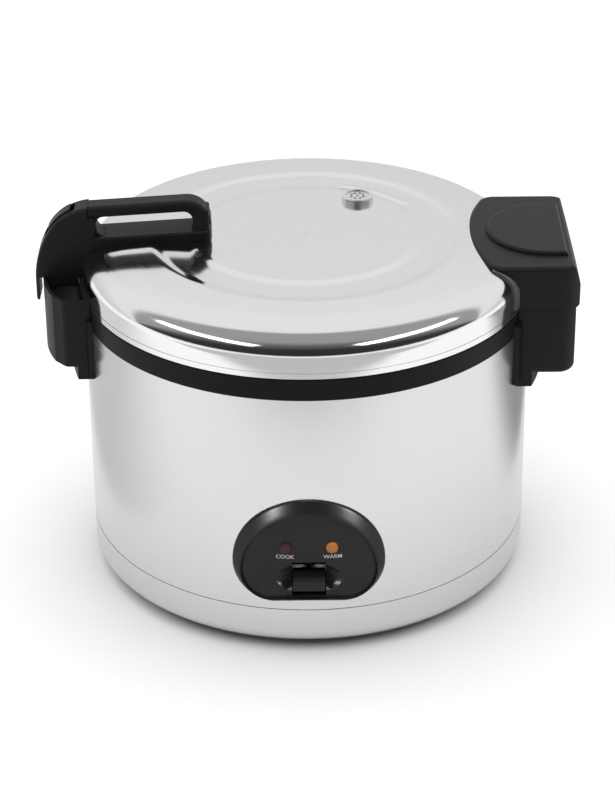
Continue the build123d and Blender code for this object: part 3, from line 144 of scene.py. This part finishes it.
def turned_metal(name, colour, rough, spread=0.05, across=1400.0, bump=0.1, centre=(0.0, 0.0)):
    """Metal with fine lines running round the cooker's axis."""
    shader = Shader(name)
    lines = shader.noise(shader.turned_place(across, 2.0, centre), 1.0)
    clouds = shader.noise(shader.place((1, 1, 1)), 9.0)
    shader.tint(lines, lighter(colour, 0.96), lighter(colour, 1.03))
    both = shader.math("ADD", shader.math("MULTIPLY", lines, 0.6), shader.math("MULTIPLY", clouds, 0.4))
    shader.link(shader.spread(both, rough - spread, rough + spread), shader.surface.inputs["Roughness"])
    shader.surface.inputs["Metallic"].default_value = 1.0
    shader.bump(lines, bump, 0.00003)
    return shader.material


def plain_metal(name, colour, rough, scale=300.0, bump=0.15, edge=0.0003):
    """Plated, cast or drawn metal with an even fine grain."""
    shader = Shader(name)
    grain = shader.noise(shader.place((1, 1, 1)), scale)
    clouds = shader.noise(shader.place((1, 1, 1)), 30.0)
    shader.tint(clouds, lighter(colour, 0.85), lighter(colour, 1.1))
    shader.link(shader.spread(grain, rough - 0.07, rough + 0.07), shader.surface.inputs["Roughness"])
    shader.surface.inputs["Metallic"].default_value = 1.0
    shader.bump(grain, bump, 0.00005, edge)
    return shader.material


def moulding(name, colour, rough, scale=1800.0, bump=0.12, edge=0.0006, contrast=0.12, shine=0.5):
    """Plastic, rubber, ceramic or fibre with a moulded or woven fine texture."""
    shader = Shader(name)
    texture = shader.noise(shader.place((1, 1, 1)), scale)
    clouds = shader.noise(shader.place((1, 1, 1)), 14.0)
    shader.tint(clouds, lighter(colour, 1 - contrast), lighter(colour, 1 + contrast))
    both = shader.math("ADD", shader.math("MULTIPLY", texture, 0.5), shader.math("MULTIPLY", clouds, 0.5))
    shader.link(shader.spread(both, rough - 0.06, rough + 0.06), shader.surface.inputs["Roughness"])
    shader.surface.inputs["Specular IOR Level"].default_value = shine
    shader.bump(texture, bump, 0.00006, edge)
    return shader.material


def lens(name, colour):
    """Tinted lamp lens with faint moulded swirls."""
    shader = Shader(name)
    swirl = shader.noise(shader.place((1, 1, 1)), 260.0)
    shader.tint(swirl, lighter(colour, 0.6), lighter(colour, 1.25))
    shader.link(shader.spread(swirl, 0.2, 0.34), shader.surface.inputs["Roughness"])
    shader.surface.inputs["Specular IOR Level"].default_value = 0.25
    shader.bump(swirl, 0.2, 0.0001)
    return shader.material


steel_body = turned_metal("body_satin_steel", (0.64, 0.64, 0.637), 0.24, 0.04, across=1600.0, bump=0.03)
steel_lid = turned_metal("lid_polished_steel", (0.76, 0.76, 0.755), 0.1, 0.03, across=700.0, bump=0.03)
spun_aluminium = turned_metal("spun_aluminium", (0.8, 0.8, 0.79), 0.32, 0.06, across=1200.0, bump=0.2)
zinc = plain_metal("zinc_plate", (0.55, 0.56, 0.57), 0.42, scale=220.0)
bright_steel = plain_metal("bright_steel", (0.62, 0.62, 0.62), 0.25, scale=500.0)
cast_metal = plain_metal("cast_metal", (0.56, 0.56, 0.55), 0.5, scale=160.0, bump=0.4)
dark_sheath = plain_metal("heated_sheath", (0.22, 0.2, 0.19), 0.5, scale=200.0)
nickel = plain_metal("nickelled_brass", (0.7, 0.62, 0.45), 0.3, scale=600.0)
black_handle = moulding("black_moulding", (0.007, 0.007, 0.0073), 0.42, shine=0.13)
black_band = moulding(
    "black_band", (0.005, 0.005, 0.0053), 0.4, scale=900.0, bump=0.06, edge=0.0, shine=0.1
)
black_panel = moulding(
    "black_panel", (0.004, 0.004, 0.0043), 0.3, scale=1400.0, bump=0.03, edge=0.0, shine=0.2
)
black_lever = moulding("black_lever", (0.006, 0.006, 0.0065), 0.36, scale=1500.0, bump=0.06, shine=0.2)
vent_metal = plain_metal("vent_cap_steel", (0.75, 0.75, 0.74), 0.36, scale=400.0, bump=0.02, edge=0.0005)
dark_paint = moulding("dark_paint", (0.06, 0.06, 0.065), 0.45, scale=700.0, bump=0.15)
grey_black = moulding("grey_black_moulding", (0.05, 0.05, 0.052), 0.55)
foot_rubber = moulding("foot_rubber", (0.05, 0.05, 0.05), 0.75, scale=700.0, bump=0.3)
silicone = moulding("silicone_seal", (0.5, 0.5, 0.48), 0.5, scale=500.0, bump=0.1)
ceramic = moulding("white_ceramic", (0.78, 0.77, 0.72), 0.6, scale=900.0, bump=0.15, contrast=0.05)
wool = moulding("mineral_wool", (0.7, 0.68, 0.6), 0.95, scale=260.0, bump=0.8, contrast=0.2)
mica = moulding("glass_tape", (0.55, 0.47, 0.32), 0.7, scale=400.0, bump=0.5, contrast=0.2)
ferrite = moulding("ferrite", (0.08, 0.08, 0.085), 0.55, scale=600.0, bump=0.3)
cook_red = lens("cook_lens_red", (0.035, 0.008, 0.014))
warm_amber = lens("warm_lens_amber", (0.36, 0.13, 0.025))
neon = lens("lamp_glass", (0.8, 0.5, 0.3))
white_print = moulding("white_print", (0.42, 0.42, 0.42), 0.5, edge=0.0, contrast=0.04)

finish_of_slot = {
    "stainless": steel_body,
    "lid_stainless": steel_lid,
    "black_plastic": black_handle,
    "collar_black": black_band,
    "panel_black": black_panel,
    "lever_black": black_lever,
    "rubber_foot": foot_rubber,
    "silicone": silicone,
    "pot_aluminium": spun_aluminium,
    "cast_plate": cast_metal,
    "plated_steel": zinc,
    "spring_steel": bright_steel,
    "screw_steel": bright_steel,
    "element_sheath": dark_sheath,
    "ferrite": ferrite,
    "insulation_wool": wool,
    "band_mica": mica,
    "terminal_ceramic": ceramic,
    "switch_black": grey_black,
    "lens_cook": cook_red,
    "lens_warm": warm_amber,
    "lamp_glass": neon,
    "brass_pin": nickel,
    "vent_steel": vent_metal,
    "bracket_dark": dark_paint,
}

for part in frame["record"]["subparts"]:
    node = nodes[part["node"]]
    node.data.materials.clear()
    node.data.materials.append(finish_of_slot.get(part["material_slot"], zinc))

# ---- Shape helpers -------------------------------------------------------------------------------


def solid(name, points, faces, material, smooth=radians(35)):
    """Mesh piece from points in millimetres, shaded smooth except across sharper edges."""
    mesh = bpy.data.meshes.new(name)
    mesh.from_pydata([Vector(p) * MM for p in points], [], faces)
    mesh.validate()
    shape = bmesh.new()
    shape.from_mesh(mesh)
    bmesh.ops.remove_doubles(shape, verts=shape.verts, dist=1e-7)
    bmesh.ops.recalc_face_normals(shape, faces=shape.faces)
    shape.to_mesh(mesh)
    shape.free()
    mesh.materials.append(material)
    made = bpy.data.objects.new(name, mesh)
    scene.collection.objects.link(made)
    mesh.shade_smooth()
    mesh.set_sharp_from_angle(angle=smooth)
    return made


def rounded(points, radii, steps=10):
    """Polyline with each inner corner replaced by an arc of the given radius."""
    line = [points[0]]
    for before, corner, after, radius in zip(points, points[1:], points[2:], radii):
        corner = Vector(corner)
        back = (Vector(before) - corner).normalized()
        ahead = (Vector(after) - corner).normalized()
        half = acos(max(-1.0, min(1.0, back.dot(ahead)))) / 2
        centre = corner + (back + ahead).normalized() * (radius / sin(half))
        start = corner + back * (radius / tan(half)) - centre
        end = corner + ahead * (radius / tan(half)) - centre
        turn = start.angle(end)
        for i in range(steps + 1):
            t = i / steps
            mix = start * (sin((1 - t) * turn) / sin(turn)) + end * (sin(t * turn) / sin(turn))
            line.append(tuple(centre + mix))
    line.append(points[-1])
    return line


def soft_step(value):
    value = max(0.0, min(1.0, value))
    return value * value * (3 - 2 * value)


# ---- Lid skin: the pressed lid as one smooth shape -----------------------------------------------

body_radius = 190.0
crown_z = 298.9
rim_top = 263.9
sheet = 1.0
groove_depth = 1.4
bead_middle = radians(54.5)      # direction of the bead's middle, from +X
bead_half_turn = radians(17.5)
bead_reach = 106.0               # from the lid's axis
bead_height = 1.0
bead_foot = 3.6                  # half its width at the foot
bead_flank = 1.6


def lid_line():
    """Outer line of the lid from its axis to the skirt, as (radius, height)."""
    corners = [
        (0.5, crown_z),
        (94.0, crown_z),
        (100.4, crown_z - groove_depth),
        (124.4, crown_z - groove_depth),
        (130.4, crown_z),
        (160.0, crown_z - 2.4),
        (body_radius, crown_z - 8.1),
        (body_radius, rim_top),
    ]
    return rounded(corners, [22, 22, 22, 24, 220, 20.4])


def bead_lift(x, y):
    """Height of the short arc-shaped bead pressed into the groove beside the vent."""
    turn = Vector((x, y)).angle_signed(Vector((1, 0)), 0.0)
    away = abs(turn - bead_middle) - bead_half_turn
    gap = hypot(hypot(x, y) - bead_reach, max(0.0, away) * bead_reach)
    return bead_height * soft_step((bead_foot - gap) / bead_flank)


def lathe(name, section, material, body, node, lift=None, turns=360):
    """Turns a closed (radius, height) section into a ring that stands for one CAD node."""
    points = []
    for r, z in section:
        for i in range(turns):
            angle = 2 * pi * i / turns
            x, y = r * cos(angle), r * sin(angle)
            points.append((x, y, z + (lift(x, y) if lift else 0.0)))
    faces = []
    for ring in range(len(section)):
        low, high = ring * turns, (ring + 1) % len(section) * turns
        for i in range(turns):
            ahead = (i + 1) % turns
            faces.append((low + i, low + ahead, high + ahead, high + i))
    made = solid(name, points, faces, material, smooth=radians(50))
    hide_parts(node)
    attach(made, body)
    return made


def lid_skin():
    """The whole lid shell. Rings lie closer together where the bead rises."""
    outer = [Vector(p) for p in lid_line()]
    fine = [outer[0]]
    for a, b in zip(outer, outer[1:]):
        pieces = max(1, round((b - a).length / 1.4)) if 96 < b.x < 129 else 1
        fine += [a.lerp(b, (i + 1) / pieces) for i in range(pieces)]
    inner = []
    for r, z in fine:
        inset = sheet if z < crown_z - 12 else 0.35
        inner.append((max(0.4, r - inset), z - sheet))
    inner[-1] = (body_radius - sheet, rim_top)
    section = fine + [Vector(p) for p in reversed(inner)]
    lathe("lid_skin", section, steel_lid, "lid", "lid_shell", lift=bead_lift)


lid_skin()

# ---- Control panel: hood-like rim, sunken face, finger dish --------------------------------------

outer_outline = (63, 149, 51.5)  # radius, top and bottom, as panel_outline takes them
inner_outline = (56, 135, 55.5)
lamp_x = 19.0
lamp_z = 105.0
lens_hole = 5.05
boss_x, boss_z, boss_radius = 38.0, 112.0, 4.0
face_radius = 193.2
back_radius = 190.05
dish_wall = 1.6
slot_half = 14.0
slot_low, slot_high = 57.5, 91.0
dish_z = 75.0
dish_half = 28.5
dish_radius = 18.5               # of the spindle that scoops the dish, at its middle
dish_taper = 8.5                 # how much thinner the spindle is at its ends
face_rings = 56
through_panel = (-170, -205)     # Y range of a cutter that passes right through
# How the hood rises from the panel's outer edge (share 0) to the sunken face (share 1), by radius.
hood = (
    (0.0, 190.3), (0.02, 191.0), (0.06, 191.6), (0.2, 192.4), (0.4, 193.5), (0.6, 194.6), (0.8, 195.6),
    (0.9, 195.9), (0.96, 195.8), (1.0, 195.2), (1.02, 193.5), (1.05, face_radius),
)


def panel_outline(radius, top, bottom, steps=48):
    """Half-round top on round lower corners and a flat foot, as (x, z) points."""
    waist = top - radius
    corner = waist - bottom
    flat = radius - corner
    arcs = (
        ((0, waist), radius, 0, 180),
        ((-flat, waist), corner, 180, 270),
        ((flat, waist), corner, 270, 360),
    )
    line = []
    for (cx, cz), size, start, end in arcs:
        count = steps * 2 if size == radius else steps
        for i in range(count + 1):
            angle = radians(start + (end - start) * i / count)
            line.append(Vector((cx + size * cos(angle), cz + size * sin(angle))))
    return line


def on_body(x, z, radius):
    """Front point at x and z on an upright cylinder round the body's axis."""
    return (x, -sqrt(radius**2 - x**2), z)


def dish_depth(x, z):
    """How far the finger dish sinks below the face, a short fat spindle's worth."""
    size = dish_radius - dish_taper * (x / dish_half) ** 2
    inside = size**2 - (z - dish_z) ** 2
    if abs(x) > dish_half or inside <= 0:
        return 0.0
    return max(0.0, sqrt(inside) - (dish_radius - dish_taper))


def panel_face():
    """Closed shell of the panel: hood rings, then face rings closing on the dish's middle."""
    outer = panel_outline(*outer_outline)
    inner = panel_outline(*inner_outline)
    centre = Vector((0, dish_z))
    count = len(outer)
    front, back = [], []
    for share, radius in hood:
        for a, b in zip(outer, inner):
            p = a.lerp(b, share)
            front.append(on_body(p.x, p.y, radius))
            back.append(on_body(p.x, p.y, back_radius))
    for ring in range(1, face_rings):
        for a, b in zip(outer, inner):
            p = a.lerp(b, hood[-1][0]).lerp(centre, ring / face_rings)
            radius = face_radius - dish_depth(p.x, p.y)
            front.append(on_body(p.x, p.y, radius))
            back.append(on_body(p.x, p.y, min(back_radius, radius - dish_wall)))
    rows = len(hood) + face_rings - 1
    depth = dish_depth(0, dish_z)
    front.append(on_body(0, dish_z, face_radius - depth))
    back.append(on_body(0, dish_z, face_radius - depth - dish_wall))
    shift = len(front)
    faces = []
    for row in range(rows - 1):
        for i in range(count):
            ahead = (i + 1) % count
            low, high = row * count, (row + 1) * count
            quad = (low + i, low + ahead, high + ahead, high + i)
            faces.append(quad)
            faces.append(tuple(shift + k for k in reversed(quad)))
    last = (rows - 1) * count
    for i in range(count):
        ahead = (i + 1) % count
        faces.append((last + i, last + ahead, shift - 1))
        faces.append((shift + last + ahead, shift + last + i, 2 * shift - 1))
        faces.append((i, shift + i, shift + ahead, ahead))
    return solid("panel_face", front + back, faces, black_panel)


def cutter(name, corners, depth_from, depth_to):
    """Prism along Y over a closed (x, z) outline."""
    count = len(corners)
    points = [(x, depth_from, z) for x, z in corners] + [(x, depth_to, z) for x, z in corners]
    faces = [tuple(range(count)), tuple(range(2 * count - 1, count - 1, -1))]
    faces += [(i, i + count, (i + 1) % count + count, (i + 1) % count) for i in range(count)]
    return solid(name, points, faces, black_panel)


def rectangle(half_width, low, high):
    return [(-half_width, low), (half_width, low), (half_width, high), (-half_width, high)]


def circle(x, z, radius, count=40):
    turns = [2 * pi * i / count for i in range(count)]
    return [(x + radius * cos(turn), z + radius * sin(turn)) for turn in turns]


def final_mesh(source):
    """New mesh of an object with its modifiers, or its curve, worked out."""
    return bpy.data.meshes.new_from_object(source.evaluated_get(bpy.context.evaluated_depsgraph_get()))


def carve(target, tool, operation="DIFFERENCE"):
    """Applies one boolean with a throwaway tool object."""
    change = target.modifiers.new("carve", "BOOLEAN")
    change.operation = operation
    change.solver = "EXACT"
    change.object = tool
    bpy.context.view_layer.update()
    shaped = final_mesh(target)
    target.modifiers.clear()
    target.data = shaped
    bpy.data.objects.remove(tool)


def control_panel():
    """Panel with its lever slot, lens holes and screw bosses, and a black sheet behind the slot's top as
    painted shade.
    """
    panel = panel_face()
    carve(panel, cutter("slot", rectangle(slot_half, slot_low, slot_high), *through_panel))
    for side in (-1, 1):
        carve(panel, cutter("lens_hole", circle(side * lamp_x, lamp_z, lens_hole), *through_panel))
        carve(panel, cutter("boss", circle(side * boss_x, boss_z, boss_radius), -181, -187), "UNION")
    panel.data.set_sharp_from_angle(angle=radians(40))
    # Painted shade: a black sheet behind the open top of the slot stands in for the shade inside the
    # body.
    shade_sheet = cutter("slot_painted_shade_sheet", rectangle(slot_half + 1, slot_high - 9, slot_high + 3), -180.6, -181.6)
    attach(shade_sheet, "cooker")
    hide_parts("panel_bezel")
    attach(panel, "cooker")


control_panel()

# ---- Body and base rings -------------------------------------------------------------------------

base_top = 42.5
shell_bottom, shell_top = 43.3, 239.3
window_half, window_low, window_high = 45, 56.5, 132


def body_ring():
    """Body shell with its openings behind the control panel and the mains inlet."""
    outer, inner = body_radius, body_radius - sheet
    section = [(outer, shell_bottom), (outer, shell_top), (inner, shell_top), (inner, shell_bottom)]
    ring = lathe("body_skin", section, steel_body, "cooker", "body_shell")
    start = (-window_half, 90)
    corners = [start, *rectangle(window_half, window_low, window_high), start]
    window = rounded(corners, [8, 8, 8, 8])
    carve(ring, cutter("panel_window", window[:-1], -150, -200))
    carve(ring, cutter("inlet_window", rectangle(16, 68, 92), 150, 200))
    ring.data.set_sharp_from_angle(angle=radians(40))


def base_skin():
    """Base ring: a lip under the body, a rolled edge, and a joggle that reaches up inside the shell."""
    foot, lip, step = 8.0, 168.0, 8.0
    outer = rounded([(lip, foot), (body_radius, foot), (body_radius, base_top)], [13])
    joggle = [(body_radius - sheet, base_top), (body_radius - sheet, base_top + step)]
    inside = body_radius - 2 * sheet
    inner = rounded([(inside, base_top + step), (inside, foot + 1.2), (lip, foot + 1.2)], [11])
    lathe("base_skin", outer + joggle + inner, steel_body, "cooker", "base_ring")


body_ring()
base_skin()

# ---- Printed words -------------------------------------------------------------------------------

print_gap = 0.06                 # keeps the ink clear of the face


def printed_word(word, x, z, height):
    """Generic function word printed on the panel's face, following its curve."""
    curve = bpy.data.curves.new(word, "FONT")
    curve.body = word
    curve.size = height
    curve.align_x = "CENTER"
    curve.extrude = 0.04
    curve.offset = 0.03
    source = bpy.data.objects.new(word, curve)
    scene.collection.objects.link(source)
    bpy.context.view_layer.update()
    mesh = final_mesh(source)
    bpy.data.objects.remove(source)
    for point in mesh.vertices:
        across, up, out = point.co
        point.co = Vector(on_body(x + across, z + up, face_radius + print_gap + out)) * MM
    mesh.materials.clear()
    mesh.materials.append(white_print)
    made = bpy.data.objects.new("print_" + word.lower(), mesh)
    scene.collection.objects.link(made)
    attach(made, "cooker")


printed_word("COOK", -lamp_x - 0.6, lamp_z - 10.4, 5.0)
printed_word("WARM", lamp_x + 0.6, lamp_z - 10.4, 5.0)

# ---- Camera --------------------------------------------------------------------------------------

camera_data = bpy.data.cameras.new("camera")
camera = bpy.data.objects.new("camera", camera_data)
scene.collection.objects.link(camera)
scene.camera = camera
camera_pitch = radians(28.34)
camera_reach = 2.190
axis_height = 0.1379
camera_roll = -0.0089
camera_data.lens = 112.4
camera_data.sensor_width = 36.0
camera_data.sensor_fit = "AUTO"
camera.location = (0, -camera_reach * cos(camera_pitch), axis_height + camera_reach * sin(camera_pitch))
look = Matrix.Rotation(pi / 2 - camera_pitch, 4, "X")
camera.matrix_world = Matrix.Translation(camera.location) @ look @ Matrix.Rotation(camera_roll, 4, "Z")

# ---- Floor and light -----------------------------------------------------------------------------

scene.view_settings.view_transform = "Standard"


def flat_sheet(name, low, high, height, material):
    """Stage sheet lying flat between two (x, y) corners, facing +Z."""
    mesh = bpy.data.meshes.new(name)
    corners = [(low[0], low[1]), (high[0], low[1]), (high[0], high[1]), (low[0], high[1])]
    mesh.from_pydata([(x, y, height) for x, y in corners], [], [(0, 1, 2, 3)])
    made = bpy.data.objects.new(name, mesh)
    scene.collection.objects.link(made)
    made.data.materials.append(material)
    return made


floor_tone = 0.5
floor_paper = moulding(
    "floor_paper", (floor_tone,) * 3, 0.9, scale=60.0, bump=0.02, edge=0.0, contrast=0.004, shine=0.0
)
flat_sheet("floor", (-8, -8), (8, 8), 0, floor_paper)


def softbox(name, place, aim, size, power):
    """Rectangular light pointing at aim."""
    data = bpy.data.lights.new(name, "AREA")
    data.shape = "RECTANGLE"
    data.size, data.size_y = size
    data.energy = power
    made = bpy.data.objects.new(name, data)
    scene.collection.objects.link(made)
    made.location = place
    made.rotation_euler = (Vector(aim) - Vector(place)).to_track_quat("-Z", "Y").to_euler()
    return made


def overhead_glow():
    """Very wide soft light from straight above. It leaves no reflection of itself."""
    data = bpy.data.lights.new("overhead", "SUN")
    data.angle = radians(100)
    data.energy = 5.6
    made = bpy.data.objects.new("overhead", data)
    scene.collection.objects.link(made)
    made.visible_glossy = False


overhead_glow()
softbox("front_left", (-1.9, -1.25, 2.1), (0, 0, 0.25), (2.6, 0.5), 12)
softbox("front_right", (1.9, -1.25, 2.1), (0, 0, 0.25), (2.6, 0.5), 12)


def reflection_card(name, low, high, level, start, end):
    """Sheet seen only in reflections. Along Y it fades from the floor's tone at start to level at end."""
    shader = Shader(name)
    coordinates = shader.node("ShaderNodeTexCoord")
    split = shader.node("ShaderNodeSeparateXYZ")
    shader.link(coordinates.outputs["Object"], split.inputs[0])
    fade = shader.node("ShaderNodeMapRange", interpolation_type="SMOOTHSTEP")
    fade.inputs["From Min"].default_value = start
    fade.inputs["From Max"].default_value = end
    shader.link(split.outputs[1], fade.inputs["Value"])
    shader.tint(fade.outputs["Result"], (floor_tone,) * 3, (level,) * 3)
    shader.surface.inputs["Roughness"].default_value = 0.9
    shader.surface.inputs["Specular IOR Level"].default_value = 0.0
    card = flat_sheet(name, low, high, 0.002, shader.material)
    card.visible_camera = False
    card.visible_diffuse = False
    card.visible_shadow = False


reflection_card("front_card", (-1.4, -2.4), (1.4, -0.56), 0.26, -0.57, -0.68)
reflection_card("right_card", (0.3, -0.05), (1.3, 0.9), 0.16, -0.02, 0.16)
reflection_card("left_card", (-1.3, -0.35), (-0.3, 0.9), 0.33, -0.3, 0.12)


def panel_kicker(name, place, size, power):
    """Small softbox that lights only the control panel, so the steel doesn't mirror it."""
    kicker = softbox(name, place, (0, -0.19, 0.12), size, power)
    kicker.light_linking.receiver_collection = panel_group


panel_group = bpy.data.collections.new("panel_group")
panel_group.objects.link(bpy.data.objects["panel_face"])
panel_kicker("kicker_left", (-1.25, -1.75, 0.5), (0.36, 0.22), 42)
panel_kicker("kicker_right", (1.5, -1.55, 0.48), (0.36, 0.22), 42)
panel_kicker("kicker_top", (0, -0.5, 1.6), (0.5, 0.25), 12)


def studio_world():
    """Room seen in reflections: pale wall behind, dim ceiling, dark behind the camera."""
    made = bpy.data.worlds.new("studio")
    made.use_nodes = True
    tree = made.node_tree
    coordinates = tree.nodes.new("ShaderNodeTexCoord")
    split = tree.nodes.new("ShaderNodeSeparateXYZ")
    tree.links.new(coordinates.outputs["Generated"], split.inputs[0])
    turn = tree.nodes.new("ShaderNodeMath")
    turn.operation = "ARCTAN2"
    tree.links.new(split.outputs[2], turn.inputs[0])
    tree.links.new(split.outputs[1], turn.inputs[1])
    part = tree.nodes.new("ShaderNodeMath")
    part.operation = "DIVIDE"
    tree.links.new(turn.outputs[0], part.inputs[0])
    part.inputs[1].default_value = pi
    ramp = tree.nodes.new("ShaderNodeValToRGB")
    tree.links.new(part.outputs[0], ramp.inputs[0])
    room = {
        0.0: 0.78, 0.05: 0.8, 0.13: 0.86, 0.23: 0.98, 0.36: 0.98,
        0.42: 0.4, 0.66: 0.38, 0.74: 0.16, 0.85: 0.04, 1.0: 0.03,
    }
    stops = ramp.color_ramp.elements
    while len(stops) < len(room):
        stops.new(0.5)
    for stop, (at, level) in zip(stops, room.items()):
        stop.position = at
        stop.color = (level, level, level, 1)
    tree.links.new(ramp.outputs["Color"], tree.nodes["Background"].inputs["Color"])
    return made


scene.world = studio_world()
